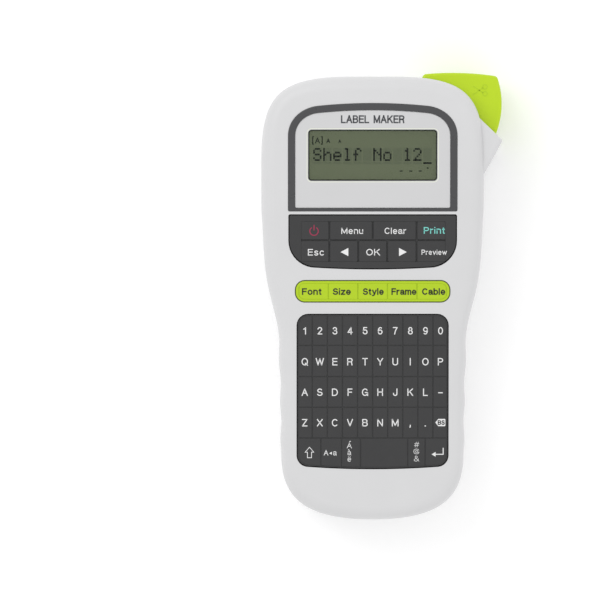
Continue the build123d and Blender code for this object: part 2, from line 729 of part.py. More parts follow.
def tooth_flank(teeth, outer_r, root_r):
    """Half of one tooth, as radius and half-angle pairs from root to tip, on an involute."""
    pitch_r = MODULE * teeth / 2
    base_r = pitch_r * math.cos(PRESSURE_ANGLE)
    half_pitch = (math.pi * MODULE / 2 - TOOTH_BACKLASH) / 2 / pitch_r
    at_pitch = math.tan(PRESSURE_ANGLE) - PRESSURE_ANGLE
    flank = []
    steps = 4
    start_r = max(base_r, root_r)
    for step in range(steps + 1):
        radius = start_r + (outer_r - start_r) * step / steps
        angle = math.acos(base_r / radius)
        flank.append((radius, half_pitch + at_pitch - (math.tan(angle) - angle)))
    if base_r > root_r:
        flank.insert(0, (root_r, flank[0][1]))
    return flank


def gear(centre, teeth, turn, low_z, high_z):
    """Spur gear with involute teeth; turn is the direction of one tooth, in degrees."""
    outer_r = MODULE * (teeth / 2 + TOOTH_ADDENDUM)
    root_r = MODULE * (teeth / 2 - TOOTH_DEDENDUM)
    flank = tooth_flank(teeth, outer_r, root_r)
    points = []
    for index in range(teeth):
        middle_angle = math.radians(turn) + index * math.tau / teeth
        for radius, half in flank:
            points.append(polar(centre, radius, math.degrees(middle_angle - half)))
        for radius, half in reversed(flank):
            points.append(polar(centre, radius, math.degrees(middle_angle + half)))
    return prism(polygon(*points), low_z, high_z)


def mesh_turn(driver_teeth, driver_turn, driven_teeth, direction):
    """Turn of a driven gear whose gap meets the driver's tooth in the given direction."""
    offset = ((direction - driver_turn) / (360 / driver_teeth)) % 1
    return direction + 180 + (offset + 0.5) * 360 / driven_teeth


def gear_distance(teeth):
    return MODULE * (REDUCTION_TEETH + teeth) / 2


MOTOR_CENTRE = polar(REDUCTION_CENTRE, gear_distance(PINION_TEETH), MOTOR_DIRECTION)
PLATEN_CENTRE = polar(REDUCTION_CENTRE, gear_distance(PLATEN_TEETH), PLATEN_DIRECTION)
RIBBON_CENTRE = polar(REDUCTION_CENTRE, gear_distance(RIBBON_TEETH), RIBBON_DIRECTION)
MOTOR_POSTS = tuple(polar(MOTOR_CENTRE, 10.5, MOTOR_DIRECTION + side) for side in (-90, 90))
MOTOR_FLANGE_Z = 29.3
MOTOR_R = 8.0
MOTOR_TOP_Z = 41.0
MOTOR_TAB = (26.0, 6.0, 1.2)


def make_motor_pinion():
    turn = mesh_turn(REDUCTION_TEETH, 0, PINION_TEETH, MOTOR_DIRECTION)
    wheel = gear(MOTOR_CENTRE, PINION_TEETH, turn, GEAR_LOW_Z, GEAR_HIGH_Z)
    return wheel + rod(MOTOR_CENTRE, 1.0, GEAR_HIGH_Z - 1, MOTOR_FLANGE_Z + 1.0)


def make_reduction_gear():
    wheel = gear(REDUCTION_CENTRE, REDUCTION_TEETH, 0, GEAR_LOW_Z, GEAR_HIGH_Z)
    for index in range(5):
        hole = polar(REDUCTION_CENTRE, 6.3, index * 72)
        wheel = wheel - rod(hole, 2.0, 0, 60)
    return wheel - rod(REDUCTION_CENTRE, STUD_R + RUNNING_GAP, 0, 60)


def make_platen_gear():
    turn = mesh_turn(REDUCTION_TEETH, 0, PLATEN_TEETH, PLATEN_DIRECTION)
    wheel = gear(PLATEN_CENTRE, PLATEN_TEETH, turn, GEAR_LOW_Z, GEAR_HIGH_Z)
    return wheel + rod(PLATEN_CENTRE, PLATEN_SHAFT_R, ARM_LOW_Z + 0.1, GEAR_LOW_Z + 1)


def make_platen_roller():
    sleeve = rod(PLATEN_CENTRE, PLATEN_R, 6.6, 19.4)
    return sleeve - rod(PLATEN_CENTRE, PLATEN_SHAFT_R + 0.02, 0, 60)


def make_platen_arm():
    """Swinging arm that holds the platen roller against the print head."""
    pivot_disc = rod(ARM_PIVOT, 3.8, ARM_LOW_Z, ARM_HIGH_Z)
    platen_disc = rod(PLATEN_CENTRE, 3.6, ARM_LOW_Z, ARM_HIGH_Z)
    dx = PLATEN_CENTRE[0] - ARM_PIVOT[0]
    dy = PLATEN_CENTRE[1] - ARM_PIVOT[1]
    angle = math.degrees(math.atan2(dy, dx))
    length = math.hypot(dx, dy)
    beam = block((0, -2.4, ARM_LOW_Z), (length, 3.6, ARM_HIGH_Z))
    beam = Pos(*ARM_PIVOT) * Rot(0, 0, angle) * beam
    arm = pivot_disc + platen_disc + beam
    arm = arm - rod(PLATEN_CENTRE, PLATEN_R + 0.6, ARM_LOW_Z + 1.2, ARM_HIGH_Z - 1.2)
    arm = arm - block((PLATEN_CENTRE[0] - 2, 160, ARM_LOW_Z + 1.2), (60, 190, ARM_HIGH_Z - 1.2))
    arm = arm - rod(PLATEN_CENTRE, PLATEN_SHAFT_R + RUNNING_GAP, 0, 60)
    return arm - rod(ARM_PIVOT, PIVOT_PIN_R + RUNNING_GAP, 0, 60)


def make_ribbon_gear():
    turn = mesh_turn(REDUCTION_TEETH, 0, RIBBON_TEETH, RIBBON_DIRECTION)
    wheel = gear(RIBBON_CENTRE, RIBBON_TEETH, turn, GEAR_LOW_Z, GEAR_HIGH_Z)
    return wheel + rod(RIBBON_CENTRE, STUD_R, 5.6, GEAR_LOW_Z + 1)


def make_mechanism_plate():
    """Chassis of the head: plate with studs, motor posts and walls round the cassette."""
    right_side = [(46, 121.4), (47, 150), (46, 171), (41, 178), (33, 189)]
    outline = polygon((-46, 121.4), *right_side, (-40, 189), (-47, 175))
    plate = prism(outline, PLATE_LOW_Z, PLATE_HIGH_Z) & prism(body_outline(WALL + 0.4), 0, HEAD_DEPTH)
    plate = plate + rod(REDUCTION_CENTRE, STUD_R, PLATE_HIGH_Z - 1, GEAR_HIGH_Z + 0.6)
    plate = plate + rod(ARM_PIVOT, PIVOT_PIN_R, ARM_LOW_Z, PLATE_LOW_Z + 1)
    for post in MOTOR_POSTS:
        plate = plate + rod(post, 2.0, PLATE_HIGH_Z - 1, MOTOR_FLANGE_Z)
    low_z = CASSETTE_LOW_Z + 2
    plate = plate + block((-40.2, 124.6, low_z), (-38.6, 172.6, PLATE_LOW_Z + 0.5))
    plate = plate + block((-40.2, 124.0, low_z), (24.0, 125.6, PLATE_LOW_Z + 0.5))
    plate = plate + block((-40.2, 172.6, low_z), (4.0, 174.2, PLATE_LOW_Z + 0.5))
    x, y = PLATEN_CENTRE
    plate = plate - block((x - 2.4, y - 1.8, 0), (x + 2.4, y + 4.6, 60))
    return plate - rod(RIBBON_CENTRE, STUD_R + RUNNING_GAP, 0, 60)


def make_drive_motor():
    can = rod(MOTOR_CENTRE, MOTOR_R, MOTOR_FLANGE_Z + 0.1, MOTOR_TOP_Z)
    can = fillet(can.edges().sort_by(Axis.Z)[-1], 0.8)
    tab = Pos(*MOTOR_CENTRE, MOTOR_FLANGE_Z + 0.1) * Rot(0, 0, MOTOR_DIRECTION + 90)
    tab = tab * Box(*MOTOR_TAB, align=(Align.CENTER, Align.CENTER, Align.MIN))
    return can + tab - rod(MOTOR_CENTRE, 1.2, 0, MOTOR_FLANGE_Z + 3)


def make_print_head():
    heat_sink = block((28.2, 158.5, TAPE_LOW_Z), (32.2, 168.2, PLATE_LOW_Z - 0.1))
    element = block((28.2, 168.2, TAPE_LOW_Z + 0.3), (32.2, 168.85, TAPE_HIGH_Z + 0.2))
    return heat_sink + element


# ---------- cassette ----------

def make_cassette_case():
    centre = ((CASSETTE_LEFT + CASSETTE_RIGHT) / 2, (CASSETTE_LOW_Y + CASSETTE_HIGH_Y) / 2)
    width = CASSETTE_RIGHT - CASSETTE_LEFT
    height = CASSETTE_HIGH_Y - CASSETTE_LOW_Y
    wall = CASSETTE_WALL
    outer = prism(Pos(*centre) * RectangleRounded(width, height, 3), CASSETTE_LOW_Z, CASSETTE_HIGH_Z)
    inner = Pos(*centre) * RectangleRounded(width - 2 * wall, height - 2 * wall, 2)
    case = outer - prism(inner, CASSETTE_LOW_Z + wall, CASSETTE_HIGH_Z - wall)
    case = case + rod(ROLL_CENTRE, ROLL_BORE_R - RUNNING_GAP, CASSETTE_LOW_Z + 0.5, CASSETTE_HIGH_Z - 0.5)
    case = case - rod(ROLL_CENTRE, 4.5, 0, 60)
    case = case - rod(RIBBON_CENTRE, 3.4, 0, 60)
    case = case - block((-2, 137, 0), (9, 161, CASSETTE_LOW_Z + wall + 0.1))
    exit_low = TAPE_Y - 1.2
    return case - block((CASSETTE_RIGHT - 3, exit_low, TAPE_LOW_Z + 0.6), (40, exit_low + 2.4, TAPE_HIGH_Z))


def make_tape_roll():
    return rod(ROLL_CENTRE, ROLL_R, ROLL_LOW_Z, ROLL_HIGH_Z) - rod(ROLL_CENTRE, ROLL_BORE_R, 0, 60)


def make_ribbon_spool():
    flange = rod(RIBBON_CENTRE, 5.6, ROLL_LOW_Z, ROLL_LOW_Z + 1)
    core = rod(RIBBON_CENTRE, 4.8, ROLL_LOW_Z, ROLL_HIGH_Z)
    top_flange = rod(RIBBON_CENTRE, 5.6, ROLL_HIGH_Z - 1, ROLL_HIGH_Z)
    return flange + core + top_flange - rod(RIBBON_CENTRE, STUD_R + 0.02, 0, 60)


# ---------- power ----------

def cell_x(index):
    return (index - (CELL_COUNT - 1) / 2) * CELL_PITCH


def lying_rod(x, z, radius, low_y, high_y):
    """Cylinder lying along Y."""
    length = high_y - low_y
    return Pos(x, (low_y + high_y) / 2, z) * Rot(90, 0, 0) * Cylinder(radius, length)


def make_batteries():
    """Six AAA cells side by side, alternately turned."""
    cells = []
    for index in range(CELL_COUNT):
        x = cell_x(index)
        low = BAY_LOW_Y + (2.8 if index % 2 == 0 else 3.2)
        can = lying_rod(x, CELL_Z, CELL_R, low, low + CELL_LENGTH)
        can = fillet(can.edges(), 0.5)
        nub_low = low + CELL_LENGTH - 0.5 if index % 2 == 0 else low - 1.0
        cells.append(can + lying_rod(x, CELL_Z, 1.9, nub_low, nub_low + 1.5))
    return Compound(cells)


def make_battery_contacts():
    """Plates at both ends of the bay, with a coil stand-in against each flat cell end."""
    contacts = []
    for index in range(CELL_COUNT):
        x = cell_x(index)
        even = index % 2 == 0
        low_plate = block((x - 4, BAY_LOW_Y + 0.05, 5.2), (x + 4, BAY_LOW_Y + 0.55, 13.2))
        high_plate = block((x - 4, BAY_HIGH_Y - 0.55, 5.2), (x + 4, BAY_HIGH_Y - 0.05, 13.2))
        low_reach = 2.2 if even else 1.2
        low_r = 2.6 if even else 1.8
        high_reach = 1.4 if even else 2.2
        high_r = 1.8 if even else 2.6
        low_stub = lying_rod(x, CELL_Z, low_r, BAY_LOW_Y + 0.3, BAY_LOW_Y + 0.5 + low_reach)
        high_stub = lying_rod(x, CELL_Z, high_r, BAY_HIGH_Y - 0.5 - high_reach, BAY_HIGH_Y - 0.3)
        contacts.append(low_plate + low_stub)
        contacts.append(high_plate + high_stub)
    return Compound(contacts)


# ---------- writing ----------

def main():
    os.makedirs("parts", exist_ok=True)
    function_keys, function_pad = make_function_keys()
    style_keys, style_pad = make_style_keys()
    letter_keys, letter_pad = make_letter_keys()
    pieces = {
        "front_case": make_front_case(),
        "rear_case": make_rear_case(),
        "case_screws": make_case_screws(),
        "back_cover": make_back_cover(),
        "cover_window": make_cover_window(),
        "display_bezel": make_display_bezel(),
        "display_panel": make_display_panel(),
        "lcd_window": make_lcd_window(),
        "lcd_cell": make_lcd_cell(),
        "lcd_holder": make_lcd_holder(),
        "zebra_strip": make_zebra_strip(),
        "main_board": make_main_board(),
        "function_pad": function_pad,
        "style_pad": style_pad,
        "letter_pad": letter_pad,
        "cutter_lever": make_cutter_lever(),
        "lever_pivot_pin": make_lever_pivot_pin(),
        "lever_spring": make_lever_spring(),
        "blade_holder": make_blade_holder(),
        "cutter_blade": make_cutter_blade(),
        "tape_guide": make_tape_guide(),
        "mechanism_plate": make_mechanism_plate(),
        "print_head": make_print_head(),
        "platen_arm": make_platen_arm(),
        "platen_roller": make_platen_roller(),
        "platen_gear": make_platen_gear(),
        "drive_motor": make_drive_motor(),
        "motor_pinion": make_motor_pinion(),
        "reduction_gear": make_reduction_gear(),
        "ribbon_gear": make_ribbon_gear(),
        "cassette_case": make_cassette_case(),
        "tape_roll": make_tape_roll(),
        "ribbon_spool": make_ribbon_spool(),
        "batteries": make_batteries(),
        "battery_contacts": make_battery_contacts(),
        "dc_jack": make_dc_jack(),
        **function_keys,
        **style_keys,
        **letter_keys,
    }
    for name, shape in pieces.items():
        write_part(name, shape)


main()
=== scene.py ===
import bpy
import bmesh
import json
import math
from mathutils import Matrix, Vector


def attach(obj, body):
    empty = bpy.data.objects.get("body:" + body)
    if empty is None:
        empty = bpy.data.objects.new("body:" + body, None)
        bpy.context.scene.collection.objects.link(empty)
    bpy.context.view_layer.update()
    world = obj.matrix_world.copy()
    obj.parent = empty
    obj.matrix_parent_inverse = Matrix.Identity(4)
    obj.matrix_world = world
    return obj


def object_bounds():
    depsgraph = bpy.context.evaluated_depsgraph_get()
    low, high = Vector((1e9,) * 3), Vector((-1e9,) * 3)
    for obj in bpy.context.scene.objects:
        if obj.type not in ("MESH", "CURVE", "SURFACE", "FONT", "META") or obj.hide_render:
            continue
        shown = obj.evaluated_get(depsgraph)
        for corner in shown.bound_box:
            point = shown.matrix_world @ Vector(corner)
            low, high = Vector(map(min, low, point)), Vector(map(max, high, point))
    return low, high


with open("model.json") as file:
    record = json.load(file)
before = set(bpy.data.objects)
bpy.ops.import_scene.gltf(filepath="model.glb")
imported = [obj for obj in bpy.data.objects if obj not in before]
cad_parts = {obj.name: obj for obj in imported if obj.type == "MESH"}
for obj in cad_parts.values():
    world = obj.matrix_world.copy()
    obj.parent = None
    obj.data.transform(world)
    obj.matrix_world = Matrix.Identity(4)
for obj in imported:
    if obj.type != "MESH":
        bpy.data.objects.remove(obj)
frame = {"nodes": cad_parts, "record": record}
cad_low, cad_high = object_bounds()

# Sizes are metres, in the CAD model's frame. The keypad face is a tilted plane. Positions on it are
# millimetres: x from the body's centreline and y from the keypad end, along the face.
MM = 0.001
HEAD_HALF = 51.7 * MM
GRIP_DEPTH = 44.0 * MM
HEAD_DEPTH = 57.0 * MM
BODY_LENGTH = 205.8 * MM
FACE_TILT = math.atan2(HEAD_DEPTH - GRIP_DEPTH, BODY_LENGTH)
BODY_X = cad_low.x + HEAD_HALF
BODY_Y = cad_low.y
FACE = Matrix.Translation((BODY_X, BODY_Y, GRIP_DEPTH)) @ Matrix.Rotation(FACE_TILT, 4, "X")
KEY_TOP = 0.3 * MM
# Print reaches this far above and below its plane.
PRINT_THICK = 0.03 * MM
SAME_POINT = 1e-7


# ---------- materials ----------

# Most of a noise texture's values lie in this span.
NOISE_LOW, NOISE_HIGH = 0.3, 0.7
# Sizes of the patches in colour, gloss and surface, of brushed lines and of smudges.
CLOUD_SIZE = 28 * MM
GLOSS_SIZE = 6 * MM
FLOW_SIZE = 9 * MM
BRUSH_SIZE = 0.3 * MM
BRUSH_DEPTH = 0.006 * MM
SMUDGE_SIZE = 12 * MM


def srgb(red, green, blue):
    """Linear colour from 0 to 255 display values."""
    def channel(value):
        value /= 255
        return value / 12.92 if value <= 0.04045 else ((value + 0.055) / 1.055) ** 2.4
    return (channel(red), channel(green), channel(blue), 1.0)


class Nodes:
    """Short way to build a material's node tree."""

    def __init__(self, name):
        self.material = bpy.data.materials.new(name)
        self.material.use_nodes = True
        self.tree = self.material.node_tree
        self.shader = self.tree.nodes["Principled BSDF"]
        self.place = self.tree.nodes.new("ShaderNodeTexCoord").outputs["Object"]

    def link(self, source, target):
        self.tree.links.new(source, target)

    def noise(self, size, detail=2.0, roughness=0.5, stretch=None):
        """Noise whose features are about this size, in metres."""
        node = self.tree.nodes.new("ShaderNodeTexNoise")
        node.inputs["Scale"].default_value = 1 / size
        node.inputs["Detail"].default_value = detail
        node.inputs["Roughness"].default_value = roughness
        source = self.place
        if stretch:
            mapping = self.tree.nodes.new("ShaderNodeMapping")
            mapping.inputs["Scale"].default_value = stretch
            self.link(source, mapping.inputs["Vector"])
            source = mapping.outputs["Vector"]
        self.link(source, node.inputs["Vector"])
        return node.outputs["Fac"]

    def remap(self, value, low, high):
        """Spread a noise over the span from low to high."""
        node = self.tree.nodes.new("ShaderNodeMapRange")
        node.inputs["From Min"].default_value = NOISE_LOW
        node.inputs["From Max"].default_value = NOISE_HIGH
        node.inputs["To Min"].default_value = low
        node.inputs["To Max"].default_value = high
        self.link(value, node.inputs["Value"])
        return node.outputs["Result"]

    def mix(self, factor, first, second):
        node = self.tree.nodes.new("ShaderNodeMix")
        node.data_type = "RGBA"
        self.link(factor, node.inputs["Factor"])
        for socket, value in ((node.inputs["A"], first), (node.inputs["B"], second)):
            if isinstance(value, tuple):
                socket.default_value = value
            else:
                self.link(value, socket)
        return node.outputs["Result"]

    def bump(self, height, depth, strength, before=None):
        node = self.tree.nodes.new("ShaderNodeBump")
        node.inputs["Strength"].default_value = strength
        node.inputs["Distance"].default_value = depth
        self.link(height, node.inputs["Height"])
        if before:
            self.link(before, node.inputs["Normal"])
        return node.outputs["Normal"]


def shade(colour, amount):
    """The same colour a little darker or lighter."""
    return tuple(channel * amount for channel in colour[:3]) + (1.0,)


def moulded(name, colour, rough, grain, depth, spread, shine=0.5):
    """Moulded plastic, rubber or print: fine grain, faint flow marks and uneven gloss.

    The colour is in display values, and the grain's size and depth are in millimetres.
    """
    nodes = Nodes(name)
    shader = nodes.shader.inputs
    colour = srgb(*colour)
    cloud = nodes.remap(nodes.noise(CLOUD_SIZE, 3.0, 0.55), 0.0, 1.0)
    base = nodes.mix(cloud, shade(colour, 1 - spread), shade(colour, 1 + spread))
    nodes.link(base, shader["Base Color"])
    gloss = nodes.noise(GLOSS_SIZE, 4.0, 0.6)
    nodes.link(nodes.remap(gloss, rough - 0.05, rough + 0.06), shader["Roughness"])
    fine = nodes.noise(grain * MM, 2.0, 0.6)
    flow = nodes.noise(FLOW_SIZE, 2.0, 0.5)
    soft = nodes.bump(flow, depth * MM * 2, 0.25)
    nodes.link(nodes.bump(fine, depth * MM, 0.5, soft), shader["Normal"])
    shader["Specular IOR Level"].default_value = shine
    return nodes.material


def metal(name, colour, rough, stretch=(1, 1, 1)):
    """Bare metal with faint brush marks."""
    nodes = Nodes(name)
    shader = nodes.shader.inputs
    shader["Metallic"].default_value = 1.0
    brushed = nodes.noise(BRUSH_SIZE, 3.0, 0.6, stretch)
    factor = nodes.remap(brushed, 0.0, 1.0)
    nodes.link(nodes.mix(factor, shade(colour, 0.88), shade(colour, 1.08)), shader["Base Color"])
    nodes.link(nodes.remap(brushed, rough - 0.06, rough + 0.1), shader["Roughness"])
    nodes.link(nodes.bump(brushed, BRUSH_DEPTH, 0.4), shader["Normal"])
    return nodes.material


def clear(name, tint, cover):
    """Clear moulded window: mostly see-through, with a faint tint, soft gloss and smudges."""
    nodes = Nodes(name)
    nodes.shader.inputs["Base Color"].default_value = tint
    nodes.shader.inputs["Alpha"].default_value = cover
    haze = nodes.noise(SMUDGE_SIZE, 3.0, 0.6)
    nodes.link(nodes.remap(haze, 0.04, 0.12), nodes.shader.inputs["Roughness"])
    return nodes.material


# Slot: colour, roughness, size and depth of the grain, spread of the colour and, if low, shine.
MOULDED = {
    "case_plastic": ((213, 213, 214), 0.42, 0.3, 0.010, 0.012),
    "panel_plastic": ((206, 206, 207), 0.36, 0.2, 0.004, 0.01),
    "bezel_plastic": ((66, 66, 68), 0.30, 0.2, 0.006, 0.03),
    "lcd_glass": ((116, 125, 98), 0.35, 0.2, 0.002, 0.03, 0.02),
    "dark_rubber": ((48, 48, 49), 0.55, 0.16, 0.012, 0.03),
    "black_rubber": ((38, 38, 38), 0.7, 0.2, 0.02, 0.05),
    "lime_rubber": ((176, 206, 0), 0.5, 0.16, 0.010, 0.02),
    "lime_plastic": ((187, 217, 0), 0.36, 0.25, 0.008, 0.02),
    "black_plastic": ((45, 45, 47), 0.5, 0.3, 0.02, 0.05),
    "chassis_plastic": ((150, 152, 156), 0.5, 0.3, 0.02, 0.03),
    "gear_plastic": ((232, 228, 216), 0.4, 0.3, 0.01, 0.02),
    "cassette_plastic": ((198, 200, 205), 0.4, 0.3, 0.01, 0.02),
    "board": ((24, 92, 52), 0.35, 0.5, 0.01, 0.08),
    "tape": ((240, 240, 238), 0.5, 0.2, 0.01, 0.02),
    "ribbon": ((22, 22, 26), 0.2, 0.3, 0.005, 0.05),
    "battery_skin": ((64, 110, 146), 0.3, 0.4, 0.004, 0.04),
}
materials = {slot: moulded(slot, *look) for slot, look in MOULDED.items()}
materials["clear_plastic"] = clear("clear_plastic", (0.06, 0.07, 0.06, 1), 0.12)
materials["steel"] = metal("steel", (0.62, 0.63, 0.65, 1), 0.3, (1, 6, 1))
materials["brass"] = metal("brass", (0.78, 0.58, 0.26, 1), 0.25)
materials["head_aluminium"] = metal("head_aluminium", (0.8, 0.81, 0.83, 1), 0.32, (1, 1, 8))

# Ink: its material's name, then the same values.
INKS = {
    "white": ("ink_white", (232, 232, 232), 0.55, 0.1, 0.003, 0.02),
    "aqua": ("ink_aqua", (120, 208, 198), 0.55, 0.1, 0.003, 0.02),
    "red": ("ink_red", (158, 34, 74), 0.55, 0.1, 0.003, 0.02),
    "dark": ("ink_dark", (44, 50, 24), 0.55, 0.1, 0.003, 0.02),
    "grey": ("ink_grey", (70, 72, 76), 0.5, 0.1, 0.003, 0.02),
    "lcd_on": ("lcd_on", (12, 16, 9), 0.4, 0.1, 0.002, 0.04, 0.02),
    "lcd_off": ("lcd_off", (107, 116, 92), 0.4, 0.1, 0.002, 0.02, 0.02),
    # Painted shade: the frame's shadow on the edge of the display.
    "lcd_edge": ("lcd_edge", (50, 56, 44), 0.4, 0.1, 0.002, 0.04, 0.1),
    # Painted shade in the gaps round the pads: a shaded lime and a near black.
    "lime_edge": ("lime_edge", (62, 72, 20), 0.5, 0.1, 0.003, 0.03),
    "pad_edge": ("pad_edge", (14, 14, 14), 0.6, 0.1, 0.003, 0.03, 0.1),
    # Painted highlight: light caught by the edge round the display's opening.
    "pale": ("ink_pale", (228, 231, 216), 0.4, 0.1, 0.002, 0.01),
    "lime_mark": ("lime_mark", (178, 209, 2), 0.36, 0.2, 0.006, 0.02),
}
inks = {ink: moulded(*look) for ink, look in INKS.items()}


def dress_nodes():
    """Give every CAD node the material of its slot."""
    slots = {entry["node"]: entry["material_slot"] for entry in frame["record"]["subparts"]}
    for name, node in frame["nodes"].items():
        node.data.materials.clear()
        node.data.materials.append(materials[slots[name]])


# ---------- pieces ----------

# A mitred corner reaches out by at most half the band's width over the square root of this.
MITRE_LIMIT = 0.2
CORNER_STEPS = 6


def add_piece(name, mesh, body, material, place):
    """Put a mesh into the scene, riding on a CAD body."""
    piece = bpy.data.objects.new(name, mesh)
    bpy.context.scene.collection.objects.link(piece)
    piece.matrix_world = place
    mesh.materials.append(material)
    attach(piece, body)


def on_face(x, y, lift=KEY_TOP):
    """Place on the tilted face, x and y in millimetres."""
    return FACE @ Matrix.Translation((x * MM, y * MM, lift))


def finish_mesh(name, build):
    """Turn a bmesh into a mesh that a piece can hold."""
    mesh = bpy.data.meshes.new(name)
    build.to_mesh(mesh)
    build.free()
    return mesh


def distinct(points):
    """The line without points that repeat the one before."""
    return [p for i, p in enumerate(points) if i == 0 or math.dist(p, points[i - 1]) > SAME_POINT]


def add_band(build, points, width, thick=PRINT_THICK):
    """Thin flat band along a line, closed on itself where the line ends where it starts."""
    points = distinct(points)
    closed = math.dist(points[0], points[-1]) < SAME_POINT
    if closed:
        points = points[:-1]
    count = len(points)
    rows = []
    for i, (x, y) in enumerate(points):
        before = points[i - 1] if closed or i else points[i]
        after = points[(i + 1) % count] if closed or i < count - 1 else points[i]
        nx, ny = band_side(before, (x, y), after, width / 2)
        left, right = (x + nx, y + ny), (x - nx, y - ny)
        corners = ((*left, thick), (*right, thick), (*right, -thick), (*left, -thick))
        rows.append([build.verts.new(corner) for corner in corners])
    for i in range(count if closed else count - 1):
        first, second = rows[i], rows[(i + 1) % count]
        for k in range(4):
            m = (k + 1) % 4
            build.faces.new((first[k], second[k], second[m], first[m]))
    if not closed:
        build.faces.new(rows[0])
        build.faces.new(rows[-1][::-1])


def band_side(before, point, after, half):
    """Sideways step from a band's middle to its edge at a point, mitred at a corner."""
    normals = []
    for start, end in ((before, point), (point, after)):
        length = math.dist(start, end)
        if length > SAME_POINT:
            normals.append(((start[1] - end[1]) / length, (end[0] - start[0]) / length))
    nx = sum(normal[0] for normal in normals) / len(normals)
    ny = sum(normal[1] for normal in normals) / len(normals)
    square = max(nx * nx + ny * ny, MITRE_LIMIT)
    return nx * half / square, ny * half / square


def add_flat(build, points, thick):
    """Thin solid inside one closed outline."""
    low = [build.verts.new((x, y, -thick)) for x, y in points]
    high = [build.verts.new((x, y, thick)) for x, y in points]
    build.faces.new(list(reversed(low)))
    build.faces.new(high)
    count = len(points)
    for i in range(count):
        j = (i + 1) % count
        build.faces.new((low[i], low[j], high[j], high[i]))


def drawing(name, bands=(), flats=(), width=0.4, thick=PRINT_THICK):
    """Thin solid from lines and closed outlines given in millimetres."""
    build = bmesh.new()
    for line in bands:
        add_band(build, [(x * MM, y * MM) for x, y in line], width * MM, thick)
    for outline in flats:
        add_flat(build, [(x * MM, y * MM) for x, y in outline], thick)
    return finish_mesh(name, build)


def arc(x, y, rx, ry, start, end, steps):
    """Points along an ellipse's arc between two angles in degrees."""
    turns = [math.radians(start + (end - start) * i / steps) for i in range(steps + 1)]
    return [(x + rx * math.cos(t), y + ry * math.sin(t)) for t in turns]


def round_corner(x, y, radius, start, steps=CORNER_STEPS):
    """Quarter of a circle round its centre."""
    return arc(x, y, radius, radius, start, start + 90, steps)


def rounded_box(low, high, radius):
    """Closed line round a rectangle with round corners."""
    left, right = low[0] + radius, high[0] - radius
    lower, upper = low[1] + radius, high[1] - radius
    points = round_corner(right, upper, radius, 0)
    points += round_corner(left, upper, radius, 90)
    points += round_corner(left, lower, radius, 180)
    points += round_corner(right, lower, radius, 270)
    return points + points[:1]


# ---------- lettering ----------
# A plain sans-serif drawn with lines and arcs on a grid where capitals are 1 high. Each letter is
# its width and its strokes; a stroke is a run of points.

LETTER_SPACE = 0.27
LOWER_CASE_WIDE = 1.12
LETTER_STRETCH = 1.2
# A letter's arc has a point about every so many degrees.
ARC_STEP = 15


def bowl(x, y, rx, ry, start, end):
    """Points along a letter's arc between two angles in degrees."""
    return arc(x, y, rx, ry, start, end, max(4, int(abs(end - start) / ARC_STEP)))


def ring(x, y, rx, ry):
    return bowl(x, y, rx, ry, 0, 360)


